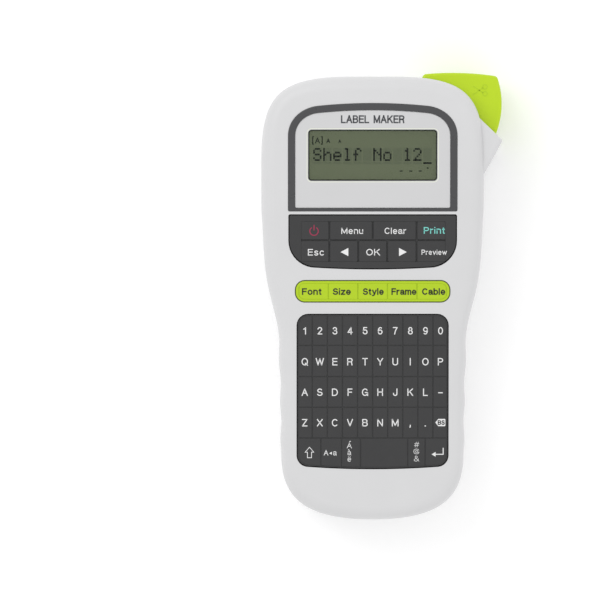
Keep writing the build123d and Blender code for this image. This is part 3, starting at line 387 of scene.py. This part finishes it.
LETTERS = {
    "A": (0.68, [[(0, 0), (0.34, 1), (0.68, 0)], [(0.13, 0.36), (0.55, 0.36)]]),
    "B": (0.60, [[(0.0, 0.0), (0.0, 1), (0.33, 1), *bowl(0.33, 0.765, 0.22, 0.235, 90, -90), (0, 0.53)],
                 [(0.33, 0.53), *bowl(0.33, 0.265, 0.26, 0.265, 90, -90), (0, 0)]]),
    "C": (0.66, [bowl(0.34, 0.5, 0.34, 0.5, 46, 314)]),
    "D": (0.64, [[(0, 0), (0, 1), (0.26, 1), *bowl(0.26, 0.5, 0.38, 0.5, 90, -90), (0, 0)]]),
    "E": (0.54, [[(0.54, 1), (0, 1), (0, 0), (0.54, 0)], [(0, 0.53), (0.5, 0.53)]]),
    "F": (0.50, [[(0.5, 1), (0, 1), (0, 0)], [(0, 0.51), (0.45, 0.51)]]),
    "G": (0.68, [[*bowl(0.34, 0.5, 0.34, 0.5, 42, 335), (0.67, 0.46), (0.38, 0.46)],
                 [(0.67, 0.46), (0.67, 0.0)]]),
    "H": (0.60, [[(0, 0), (0, 1)], [(0.6, 0), (0.6, 1)], [(0, 0.53), (0.6, 0.53)]]),
    "I": (0.02, [[(0, 0), (0, 1)]]),
    "J": (0.44, [[(0.44, 1), *bowl(0.22, 0.25, 0.22, 0.25, 0, -180), (0.0, 0.32)]]),
    "K": (0.62, [[(0, 0), (0, 1)], [(0.58, 1), (0.04, 0.4)], [(0.24, 0.6), (0.61, 0)]]),
    "L": (0.48, [[(0, 1), (0, 0), (0.48, 0)]]),
    "M": (0.74, [[(0, 0), (0, 1), (0.37, 0.08), (0.74, 1), (0.74, 0)]]),
    "N": (0.60, [[(0, 0), (0, 1), (0.6, 0), (0.6, 1)]]),
    "O": (0.70, [ring(0.35, 0.5, 0.35, 0.5)]),
    "P": (0.56, [[(0, 0), (0, 1), (0.3, 1), *bowl(0.3, 0.73, 0.26, 0.27, 90, -90), (0, 0.46)]]),
    "Q": (0.70, [ring(0.35, 0.5, 0.35, 0.5), [(0.42, 0.26), (0.7, -0.04)]]),
    "R": (0.60, [[(0, 0), (0, 1), (0.32, 1), *bowl(0.32, 0.745, 0.26, 0.255, 90, -90), (0, 0.49)],
                 [(0.34, 0.49), (0.5, 0.4), (0.56, 0.0)]]),
    "S": (0.58, [[*bowl(0.29, 0.745, 0.26, 0.255, 32, 225), (0.4, 0.46),
                  *bowl(0.29, 0.265, 0.29, 0.265, 60, -158)]]),
    "T": (0.58, [[(0, 1), (0.58, 1)], [(0.29, 1), (0.29, 0)]]),
    "U": (0.60, [[(0, 1), *bowl(0.3, 0.31, 0.3, 0.31, 180, 360), (0.6, 1)]]),
    "V": (0.64, [[(0, 1), (0.32, 0), (0.64, 1)]]),
    "W": (0.94, [[(0, 1), (0.24, 0), (0.47, 0.96), (0.7, 0), (0.94, 1)]]),
    "X": (0.62, [[(0, 1), (0.62, 0)], [(0, 0), (0.62, 1)]]),
    "Y": (0.64, [[(0, 1), (0.32, 0.44), (0.64, 1)], [(0.32, 0.44), (0.32, 0)]]),
    "Z": (0.58, [[(0, 1), (0.58, 1), (0, 0), (0.58, 0)]]),
    "a": (0.44, [[*bowl(0.21, 0.53, 0.2, 0.2, 160, 0), (0.41, 0.08), (0.46, 0.0)],
                 [(0.41, 0.42), (0.16, 0.38), *bowl(0.17, 0.19, 0.17, 0.19, 90, 300), (0.41, 0.18)]]),
    "b": (0.45, [[(0, 0), (0, 1)], ring(0.225, 0.36, 0.225, 0.37)]),
    "c": (0.42, [bowl(0.23, 0.36, 0.22, 0.37, 46, 314)]),
    "e": (0.46, [[(0.02, 0.36), (0.45, 0.36), *bowl(0.23, 0.36, 0.22, 0.37, 0, 314)]]),
    "i": (0.02, [[(0, 0), (0, 0.64)], [(0, 0.99), (0, 1.0)]]),
    "l": (0.02, [[(0, 0), (0, 1)]]),
    "m": (0.68, [[(0, 0), (0, 0.72)], [(0, 0.5), *bowl(0.17, 0.54, 0.17, 0.19, 180, 0), (0.34, 0)],
                 [(0.34, 0.5), *bowl(0.51, 0.54, 0.17, 0.19, 180, 0), (0.68, 0)]]),
    "n": (0.40, [[(0, 0), (0, 0.72)], [(0, 0.5), *bowl(0.2, 0.53, 0.2, 0.2, 180, 0), (0.4, 0)]]),
    "o": (0.46, [ring(0.23, 0.36, 0.23, 0.37)]),
    "r": (0.25, [[(0, 0), (0, 0.72)], [(0, 0.42), (0.06, 0.62), (0.25, 0.71)]]),
    "s": (0.38, [[*bowl(0.19, 0.55, 0.17, 0.18, 28, 225), (0.27, 0.32),
                  *bowl(0.19, 0.18, 0.19, 0.19, 60, -158)]]),
    "t": (0.24, [[(0.1, 0.9), (0.1, 0.12), (0.14, 0.0), (0.2, 0.0)], [(0.0, 0.7), (0.2, 0.7)]]),
    "u": (0.40, [[(0, 0.72), *bowl(0.2, 0.2, 0.2, 0.2, 180, 360), (0.4, 0.72)],
                 [(0.4, 0.3), (0.4, 0)]]),
    "v": (0.44, [[(0, 0.72), (0.22, 0), (0.44, 0.72)]]),
    "w": (0.66, [[(0, 0.72), (0.17, 0), (0.33, 0.68), (0.49, 0), (0.66, 0.72)]]),
    "y": (0.44, [[(0, 0.72), (0.22, 0.02)], [(0.44, 0.72), (0.2, -0.12), (0.1, -0.24), (0.0, -0.24)]]),
    "z": (0.40, [[(0, 0.7), (0.4, 0.7), (0, 0.0), (0.4, 0.0)]]),
    "0": (0.50, [ring(0.25, 0.5, 0.25, 0.5)]),
    "1": (0.24, [[(0, 0.76), (0.14, 0.8), (0.22, 1), (0.22, 0)]]),
    "2": (0.50, [[*bowl(0.25, 0.73, 0.24, 0.27, 170, -25), (0.02, 0.0), (0.5, 0.0)]]),
    "3": (0.50, [[*bowl(0.24, 0.75, 0.21, 0.25, 165, -75), (0.2, 0.52)],
                 [(0.29, 0.52), *bowl(0.25, 0.27, 0.25, 0.27, 80, -165)]]),
    "4": (0.52, [[(0.39, 0), (0.39, 1), (0.0, 0.26), (0.52, 0.26)]]),
    "5": (0.50, [[(0.45, 1), (0.08, 1), (0.04, 0.5), *bowl(0.25, 0.32, 0.25, 0.31, 130, -165)]]),
    "6": (0.50, [[*bowl(0.27, 0.5, 0.26, 0.5, 55, 180), (0.01, 0.34)], ring(0.25, 0.31, 0.24, 0.31)]),
    "7": (0.48, [[(0, 1), (0.48, 1), (0.26, 0.5), (0.16, 0)]]),
    "8": (0.50, [ring(0.25, 0.765, 0.2, 0.235), ring(0.25, 0.265, 0.25, 0.265)]),
    "9": (0.50, [[*bowl(0.23, 0.5, 0.26, 0.5, -125, 0), (0.49, 0.66)], ring(0.25, 0.69, 0.24, 0.31)]),
    "-": (0.46, [[(0, 0.42), (0.46, 0.42)]]),
    ",": (0.08, [[(0.05, 0.1), (0.05, -0.02), (0.0, -0.2)]]),
    ".": (0.06, [[(0.0, 0.0), (0.04, 0.0)]]),
    " ": (0.30, []),
    "#": (0.60, [[(0.12, 0), (0.28, 1)], [(0.38, 0), (0.54, 1)],
                 [(0, 0.32), (0.56, 0.32)], [(0.06, 0.68), (0.62, 0.68)]]),
    "@": (0.80, [bowl(0.4, 0.45, 0.4, 0.5, 330, 30), ring(0.4, 0.45, 0.16, 0.2),
                 [(0.56, 0.66), (0.56, 0.3), (0.76, 0.3)]]),
    "&": (0.66, [[(0.66, 0.0), (0.16, 0.72), *bowl(0.3, 0.82, 0.15, 0.18, 200, -30), (0.12, 0.42),
                  *bowl(0.25, 0.22, 0.22, 0.22, 140, 330), (0.62, 0.46)]]),
}


def text_strokes(text):
    """Strokes of a word, its left edge at 0, and its width."""
    strokes = []
    x = 0.0
    for letter in text:
        width, lines = LETTERS[letter]
        wide = LOWER_CASE_WIDE if letter.islower() else 1
        strokes += [[(x + px * wide, py) for px, py in line] for line in lines]
        x += width * wide + LETTER_SPACE
    return strokes, x - LETTER_SPACE


def cut_at_corners(points):
    """Cut an open line where it turns by more than a right angle."""
    parts = []
    start = 0
    for i in range(1, len(points) - 1):
        (ax, ay), (bx, by), (cx, cy) = points[i - 1:i + 2]
        if (bx - ax) * (cx - bx) + (by - ay) * (cy - by) < 0:
            parts.append(points[start:i + 1])
            start = i
    return parts + [points[start:]]


def lengthened(points, extra):
    """The line with both ends moved outward."""
    ends = []
    for (x, y), (inner_x, inner_y) in ((points[0], points[1]), (points[-1], points[-2])):
        step = extra / math.dist((x, y), (inner_x, inner_y))
        ends.append((x + (x - inner_x) * step, y + (y - inner_y) * step))
    return [ends[0], *points[1:-1], ends[1]]


def lettering(name, text, cap, weight, width=None):
    """Lettering as a thin solid, centred on x 0 with its baseline at y 0.

    The capital height and the width are in millimetres; the line weight is a share of the height.
    """
    strokes, length = text_strokes(text)
    unit = cap * MM / (1 + weight)
    unit_x = (width * MM - weight * unit) / length if width else unit * LETTER_STRETCH
    build = bmesh.new()
    for line in strokes:
        points = distinct([((x - length / 2) * unit_x, (y + weight / 2) * unit) for x, y in line])
        if math.dist(points[0], points[-1]) < SAME_POINT:
            add_band(build, points, weight * unit)
            continue
        for part in cut_at_corners(points):
            add_band(build, lengthened(part, weight * unit / 2), weight * unit)
    return finish_mesh(name, build)


# ---------- legends ----------

# Word, key, x of its middle and y of its baseline, capital height, width, line weight and ink.
WORDS = [
    ("Menu", "key_menu", -9.5, 133.1, 2.9, 10.1, 0.16, "white"),
    ("Clear", "key_clear", 10.5, 133.1, 2.9, 10.0, 0.16, "white"),
    ("Print", "key_print", 28.6, 133.2, 3.1, 9.9, 0.18, "aqua"),
    ("Esc", "key_escape", -26.3, 123.1, 3.0, 7.5, 0.16, "white"),
    ("OK", "key_ok", 0.2, 123.1, 3.05, 6.4, 0.16, "white"),
    ("Preview", "key_preview", 28.5, 123.4, 2.4, 11.7, 0.17, "white"),
    ("Font", "key_font", -28.2, 104.8, 3.1, 9.2, 0.25, "dark"),
    ("Size", "key_size", -14.3, 104.8, 3.1, 8.4, 0.25, "dark"),
    ("Style", "key_style", 0.3, 104.8, 3.1, 9.7, 0.25, "dark"),
    ("Frame", "key_frame", 14.5, 104.8, 3.1, 11.6, 0.25, "dark"),
    ("Cable", "key_cable", 28.3, 104.8, 3.1, 10.8, 0.25, "dark"),
]
# Row of keys, its letters and y of their baseline.
ROWS = [
    ("keys_digits", "1234567890", 86.4),
    ("keys_upper_row", "QWERTYUIOP", 72.0),
    ("keys_home_row", "ASDFGHJKL-", 57.8),
    ("keys_lower_row", "ZXCVBNM,.", 43.6),
]
COLUMNS = 10
COLUMN_PITCH = 7.0
ROW_CAP = 3.45
ROW_WEIGHT = 0.155
# The two letters on the capitals key: piece, letter and x of its middle.
CAPS_LETTERS = [("legend_caps_large", "A", -21.6), ("legend_caps_small", "a", -17.5)]
CAPS_BASELINE = 30.1
CAPS_CAP = 2.5
CAPS_WEIGHT = 0.14
# Key with three small signs, x, line weight, and each sign's letter, baseline, height and width.
SIGN_STACKS = [
    ("key_accent", -10.8, 0.13, [("A", 33.4, 2.5, 2.3), ("a", 30.2, 2.4, 1.7), ("e", 27.2, 2.4, 1.7)]),
    ("key_symbol", 20.4, 0.09, [("#", 33.9, 2.5, 2.3), ("@", 30.8, 2.5, 2.8), ("&", 27.3, 2.6, 2.5)]),
]


def key_body(node):
    return node + "_body"


def add_legend(name, text, key, ink, x, y, cap, weight, width=None):
    """Lettering on a key."""
    mesh = lettering(name, text, cap, weight, width)
    add_piece(name, mesh, key_body(key), inks[ink], on_face(x, y))


def add_symbol(name, key, x, y, ink, **shape):
    """Lines and outlines on a key, in millimetres from the symbol's middle."""
    add_piece(name, drawing(name, **shape), key_body(key), inks[ink], on_face(x, y))


def make_word_legends():
    for text, key, x, y, cap, width, weight, ink in WORDS:
        add_legend("legend_" + key, text, key, ink, x, y, cap, weight, width)


def make_row_legends():
    for node, letters, baseline in ROWS:
        for index, letter in enumerate(letters):
            x = (index - (COLUMNS - 1) / 2) * COLUMN_PITCH
            name = f"legend_{node}_{index + 1}"
            add_legend(name, letter, node, "white", x, baseline, ROW_CAP, ROW_WEIGHT)


def make_symbol_legends():
    """Left and right triangles and the power sign."""
    left = [(1.8, -1.9), (1.8, 1.9), (-1.8, 0.0)]
    right = [(-1.8, -1.9), (1.8, 0.0), (-1.8, 1.9)]
    add_symbol("legend_key_left", "key_left", -13.1, 124.7, "white", flats=[left])
    add_symbol("legend_key_right", "key_right", 14.0, 124.7, "white", flats=[right])
    power = [arc(0, 0, 1.95, 1.95, 122, 418, 28), [(0, 0.3), (0, 2.9)]]
    add_symbol("legend_key_power", "key_power", -27.2, 134.4, "red", bands=power, width=0.45)


def make_bottom_legends():
    """Shift arrow, capitals, accented letters, signs, enter arrow and backspace tag."""
    arrow = [(0, 2.5), (2.0, 0.2), (0.95, 0.2), (0.95, -2.4)]
    arrow += [(-x, y) for x, y in reversed(arrow)]
    add_symbol("legend_key_shift", "key_shift", -29.3, 31.4, "white", bands=[arrow], width=0.3)
    for name, letter, x in CAPS_LETTERS:
        add_legend(name, letter, "key_caps", "white", x, CAPS_BASELINE, CAPS_CAP, CAPS_WEIGHT)
    change = [(0.6, -0.7), (0.6, 0.7), (-0.6, 0)]
    add_symbol("legend_caps_arrow", "key_caps", -19.5, 31.1, "white", flats=[change])
    for key, x, weight, signs in SIGN_STACKS:
        for index, (letter, y, cap, width) in enumerate(signs):
            add_legend(f"legend_{key}_{index + 1}", letter, key, "white", x, y, cap, weight, width)
    accents = [
        [(0.0, 6.2), (0.6, 6.8)], [(0.1, 2.3), (-0.5, 2.9)],
        [(-0.6, -0.6), (-0.25, -0.6)], [(0.25, -0.6), (0.6, -0.6)],
    ]
    name = "legend_key_accent_marks"
    add_symbol(name, "key_accent", -10.8, 30.0, "white", bands=accents, width=0.34)
    hook = [(2.6, 2.4), (2.6, -0.6), (-1.4, -0.6)]
    head = [(-2.8, -0.6), (-0.9, -1.7), (-0.9, 0.5)]
    name = "legend_key_enter"
    add_symbol(name, "key_enter", 30.2, 31.2, "white", bands=[hook], flats=[head], width=0.42)
    tag = [(-2.35, 0), (-1.0, -1.7), (2.0, -1.7), (2.3, -1.4), (2.3, 1.4), (2.0, 1.7), (-1.0, 1.7)]
    add_symbol("legend_backspace_tag", "keys_lower_row", 31.5, 45.4, "white", flats=[tag])
    name = "legend_backspace_word"
    mesh = lettering(name, "BS", 2.2, 0.26, 3.3)
    place = on_face(31.9, 44.3, KEY_TOP + PRINT_THICK)
    add_piece(name, mesh, key_body("keys_lower_row"), materials["dark_rubber"], place)


# ---------- display ----------

# Rows of dots from the top, five to a row; 1 is a dark dot.
GLYPHS = {
    "S": ("01110", "10001", "10000", "01110", "00001", "10001", "01110"),
    "h": ("10000", "10000", "10110", "11001", "10001", "10001", "10001"),
    "e": ("00000", "00000", "01110", "10001", "11111", "10000", "01110"),
    "l": ("01100", "00100", "00100", "00100", "00100", "00100", "01110"),
    "f": ("00110", "01001", "01000", "11100", "01000", "01000", "01000"),
    "N": ("10001", "11001", "10101", "10011", "10001", "10001", "10001"),
    "o": ("00000", "00000", "01110", "10001", "10001", "10001", "01110"),
    "1": ("00100", "01100", "00100", "00100", "00100", "00100", "01110"),
    "2": ("01110", "10001", "00001", "00010", "00100", "01000", "11111"),
    " ": ("00000",) * 7,
}
LCD_TEXT = "Shelf No 12"
LCD_CELLS = 12
GLYPH_DOTS = 5
CELL_DOTS = 6
# Upper left dot, pitch of the dots, and row of the cursor.
LCD_LEFT = -27.6
LCD_TOP = 172.9
DOT_X = 0.773
DOT_Y = 0.865
CURSOR_ROW = 7.6
# The display's opening, and the heights of its picture and of the panel round it over the face.
LCD_LOW = (-29.9, 157.7)
LCD_HIGH = (29.9, 181.4)
LCD_CORNER = 1.6
LCD_LIFT = -1.37 * MM
PANEL_TOP = 0.0
LIT_THICK = 0.01 * MM
UNLIT_THICK = 0.005 * MM
# Letter marks above the text: x, baseline, capital height and line weight. The first has brackets.
LCD_MARKS = [(-25.6, 175.0, 2.7, 0.18), (-20.6, 175.2, 2.0, 0.26), (-15.3, 175.3, 1.5, 0.32)]
BRACKET_HALF = 2.2
BRACKET_FOOT = 0.6
BRACKET_LOW, BRACKET_HIGH = 174.7, 178.1
# Dashes below the text: left end, y and length.
DASHES = [(12.5, 162.2, 1.4), (16.9, 162.2, 1.4), (21.3, 162.2, 1.4), (25.0, 163.6, 0.9)]
SIGN_WIDTH = 0.5
# Half the width of the painted shade that the frame casts just inside the opening; gap and width of the
# painted highlight on the edge outside it.
FRAME_SHADE_HALF = 0.3
HIGHLIGHT_GAP = 0.5
HIGHLIGHT_WIDTH = 0.36


def dot(column, row):
    """Outline of one display dot."""
    x = LCD_LEFT + column * DOT_X
    y = LCD_TOP - row * DOT_Y
    right, low = x + DOT_X, y - DOT_Y
    return [(x, low), (right, low), (right, y), (x, y)]


def on_display(name, ink, thick=LIT_THICK, lift=LCD_LIFT, **shape):
    """Lines and outlines on the display, in millimetres on the face."""
    add_piece(name, drawing(name, thick=thick, **shape), "case", inks[ink], on_face(0, 0, lift))


def make_display_dots():
    lit, unlit = [], []
    for index, letter in enumerate(LCD_TEXT.ljust(LCD_CELLS)):
        for row, line in enumerate(GLYPHS[letter]):
            for column, bit in enumerate(line):
                target = lit if bit == "1" else unlit
                target.append(dot(index * CELL_DOTS + column, row))
        target = lit if index == len(LCD_TEXT) else unlit
        target += [dot(index * CELL_DOTS + column, CURSOR_ROW) for column in range(GLYPH_DOTS)]
    on_display("lcd_dots_lit", "lcd_on", flats=lit)
    on_display("lcd_dots_unlit", "lcd_off", thick=UNLIT_THICK, flats=unlit)


def make_display_marks():
    for index, (x, y, cap, weight) in enumerate(LCD_MARKS):
        name = f"lcd_mark_{index + 1}"
        mesh = lettering(name, "A", cap, weight)
        add_piece(name, mesh, "case", inks["lcd_on"], on_face(x, y, LCD_LIFT))
    signs = []
    for side in (-1, 1):
        x = LCD_MARKS[0][0] + side * BRACKET_HALF
        foot = x - side * BRACKET_FOOT
        signs.append([(foot, BRACKET_HIGH), (x, BRACKET_HIGH), (x, BRACKET_LOW), (foot, BRACKET_LOW)])
    signs += [[(x, y), (x + length, y)] for x, y, length in DASHES]
    on_display("lcd_signs", "lcd_on", bands=signs, width=SIGN_WIDTH)


def display_line(gap):
    """Closed line round the display's opening, outside it by the gap."""
    low = (LCD_LOW[0] - gap, LCD_LOW[1] - gap)
    high = (LCD_HIGH[0] + gap, LCD_HIGH[1] + gap)
    return rounded_box(low, high, LCD_CORNER + gap)


def make_display_edges():
    """Painted shade just inside the display opening, where the frame shades the display, and a painted
    highlight round the opening, where its edge catches the light.
    """
    dark, pale = display_line(-FRAME_SHADE_HALF), display_line(HIGHLIGHT_GAP)
    on_display("lcd_painted_frame_shade", "lcd_edge", bands=[dark], width=2 * FRAME_SHADE_HALF)
    on_display("panel_painted_highlight", "pale", lift=PANEL_TOP, bands=[pale], width=HIGHLIGHT_WIDTH)


# Pad, half its width, lower and upper edge, lower and upper corner, bow of the lower edge and ink of
# the painted shade in the gap round it.
PAD_GAP_SHADES = [
    ("function_pad", 38.8, 116.9, 141.9, 12.3, 0.6, 0.8, "pad_edge"),
    ("style_pad", 35.8, 101.5, 111.4, 4.3, 4.3, 0.0, "lime_edge"),
    ("letter_pad", 35.0, 23.9, 95.7, 5.1, 5.1, 1.1, "pad_edge"),
]
PAD_SHADE_WIDTH = 0.6
PAD_SHADE_THICK = 0.02 * MM
LOWER_CORNER_STEPS = 10
BOW_STEPS = 12


def pad_line(half, low, high, low_corner, high_corner, bow):
    """Closed line round a pad: round corners and a lower edge that bows outward."""
    upper_x, upper_y = half - high_corner, high - high_corner
    lower_x, lower_y = half - low_corner, low + bow + low_corner
    points = round_corner(upper_x, upper_y, high_corner, 0)
    points += round_corner(-upper_x, upper_y, high_corner, 90)
    points += round_corner(-lower_x, lower_y, low_corner, 180, LOWER_CORNER_STEPS)
    shares = [i / BOW_STEPS - 1 for i in range(1, 2 * BOW_STEPS)]
    points += [(lower_x * share, low + bow * share * share) for share in shares]
    points += round_corner(lower_x, lower_y, low_corner, 270, LOWER_CORNER_STEPS)
    return points + points[:1]


def make_pad_edges():
    """Painted shade: a dark line in the gap round each pad, where the gap lies in shade."""
    for pad, *sizes, ink in PAD_GAP_SHADES:
        name = pad + "_edge"
        mesh = drawing(name, bands=[pad_line(*sizes)], width=PAD_SHADE_WIDTH, thick=PAD_SHADE_THICK)
        add_piece(name, mesh, "case", inks[ink], on_face(0, 0, 0))


PANEL_WORD_Y = 184.4
PANEL_WORD_CAP = 3.7
PANEL_WORD_WIDTH = 29.5
PANEL_WORD_WEIGHT = 0.22


def make_panel_word():
    mesh = lettering("panel_word", "LABEL MAKER", PANEL_WORD_CAP, PANEL_WORD_WEIGHT, PANEL_WORD_WIDTH)
    add_piece("panel_word", mesh, "case", inks["grey"], on_face(0, PANEL_WORD_Y, PANEL_TOP))


# ---------- cutter lever ----------

# Middle of the mark from the body's centreline and keypad end, and the lever's upper face.
SCISSORS_X = 49.8 * MM
SCISSORS_Y = 199.8 * MM
LEVER_TOP_Z = 40.0 * MM


def make_scissors_mark():
    """Raised scissors on the lever's front face, blades toward the tape."""
    blades = [[(-2.9, side * 2.0), (0.0, 0.0), (1.7, -side * 1.15)] for side in (-1, 1)]
    handles = [arc(2.6, side * 1.6, 1.05, 1.05, 0, 360, 16) for side in (-1, 1)]
    mesh = drawing("lever_scissors", bands=blades + handles, width=0.42, thick=0.1 * MM)
    place = Matrix.Translation((BODY_X + SCISSORS_X, BODY_Y + SCISSORS_Y, LEVER_TOP_Z))
    add_piece("lever_scissors", mesh, "lever", inks["lime_mark"], place)


# ---------- scene ----------

FLOOR_GAP = 0.2 * MM
FLOOR_HALF = 12.0
FLOOR_SHADES = ((0.95, 0.95, 0.95, 1), (0.97, 0.97, 0.97, 1))
FLOOR_CLOUD = 0.4
FLOOR_GLOW = 0.14
WHITE = (1, 1, 1, 1)
WORLD_STRENGTH = 0.88
LIGHT_AIM = (0, 0, 0.03)
# Softbox: its place, the length of its sides and its power.
SOFTBOXES = {
    "key_light": ((-0.55, 0.6, 1.1), 0.8, 3.5),
    "fill_light": ((0.9, -0.3, 0.9), 0.9, 0.8),
}
# Width of the view at the face, and how far the camera is from the face and off its middle.
FRAME_WIDTH = 0.2783
CAMERA_DISTANCE = 3.0
FRAME_OFFSET = (-33.7 * MM, -0.5 * MM)
CAMERA_REACH = 10
SENSOR_MM = 36


def make_floor():
    """Plain pale floor that glows a little, so that it stays almost white."""
    mesh = bpy.data.meshes.new("floor")
    corners = [(x * FLOOR_HALF, y * FLOOR_HALF, 0) for x, y in ((-1, -1), (1, -1), (1, 1), (-1, 1))]
    mesh.from_pydata(corners, [], [(0, 1, 2, 3)])
    floor = bpy.data.objects.new("floor", mesh)
    floor.location.z = -FLOOR_GAP
    bpy.context.scene.collection.objects.link(floor)
    nodes = Nodes("floor")
    shader = nodes.shader.inputs
    cloud = nodes.remap(nodes.noise(FLOOR_CLOUD), 0.0, 1.0)
    nodes.link(nodes.mix(cloud, *FLOOR_SHADES), shader["Base Color"])
    shader["Roughness"].default_value = 0.9
    shader["Emission Color"].default_value = WHITE
    shader["Emission Strength"].default_value = FLOOR_GLOW
    mesh.materials.append(nodes.material)


def add_softbox(name, place, side, power):
    """Square area light aimed at the object."""
    light = bpy.data.lights.new(name, "AREA")
    light.shape = "SQUARE"
    light.size = side
    light.energy = power
    holder = bpy.data.objects.new(name, light)
    bpy.context.scene.collection.objects.link(holder)
    holder.location = place
    holder.rotation_mode = "QUATERNION"
    holder.rotation_quaternion = (Vector(LIGHT_AIM) - Vector(place)).to_track_quat("-Z", "Y")


def make_lights():
    world = bpy.data.worlds.new("studio")
    bpy.context.scene.world = world
    world.use_nodes = True
    background = world.node_tree.nodes["Background"].inputs
    background["Color"].default_value = WHITE
    background["Strength"].default_value = WORLD_STRENGTH
    for name, values in SOFTBOXES.items():
        add_softbox(name, *values)


def make_camera():
    """Camera straight above the object, far off, so that it looks almost without perspective."""
    data = bpy.data.cameras.new("camera")
    camera = bpy.data.objects.new("camera", data)
    bpy.context.scene.collection.objects.link(camera)
    bpy.context.scene.camera = camera
    data.sensor_width = SENSOR_MM
    data.lens = SENSOR_MM * CAMERA_DISTANCE / FRAME_WIDTH
    data.clip_end = CAMERA_REACH
    aim = FACE @ Vector((0, BODY_LENGTH / 2, 0))
    camera.location = aim + Vector((*FRAME_OFFSET, CAMERA_DISTANCE))


def main():
    dress_nodes()
    make_word_legends()
    make_row_legends()
    make_symbol_legends()
    make_bottom_legends()
    make_display_dots()
    make_display_marks()
    make_display_edges()
    make_pad_edges()
    make_panel_word()
    make_scissors_mark()
    make_floor()
    make_lights()
    make_camera()
    bpy.context.scene.view_settings.view_transform = "Standard"


main()
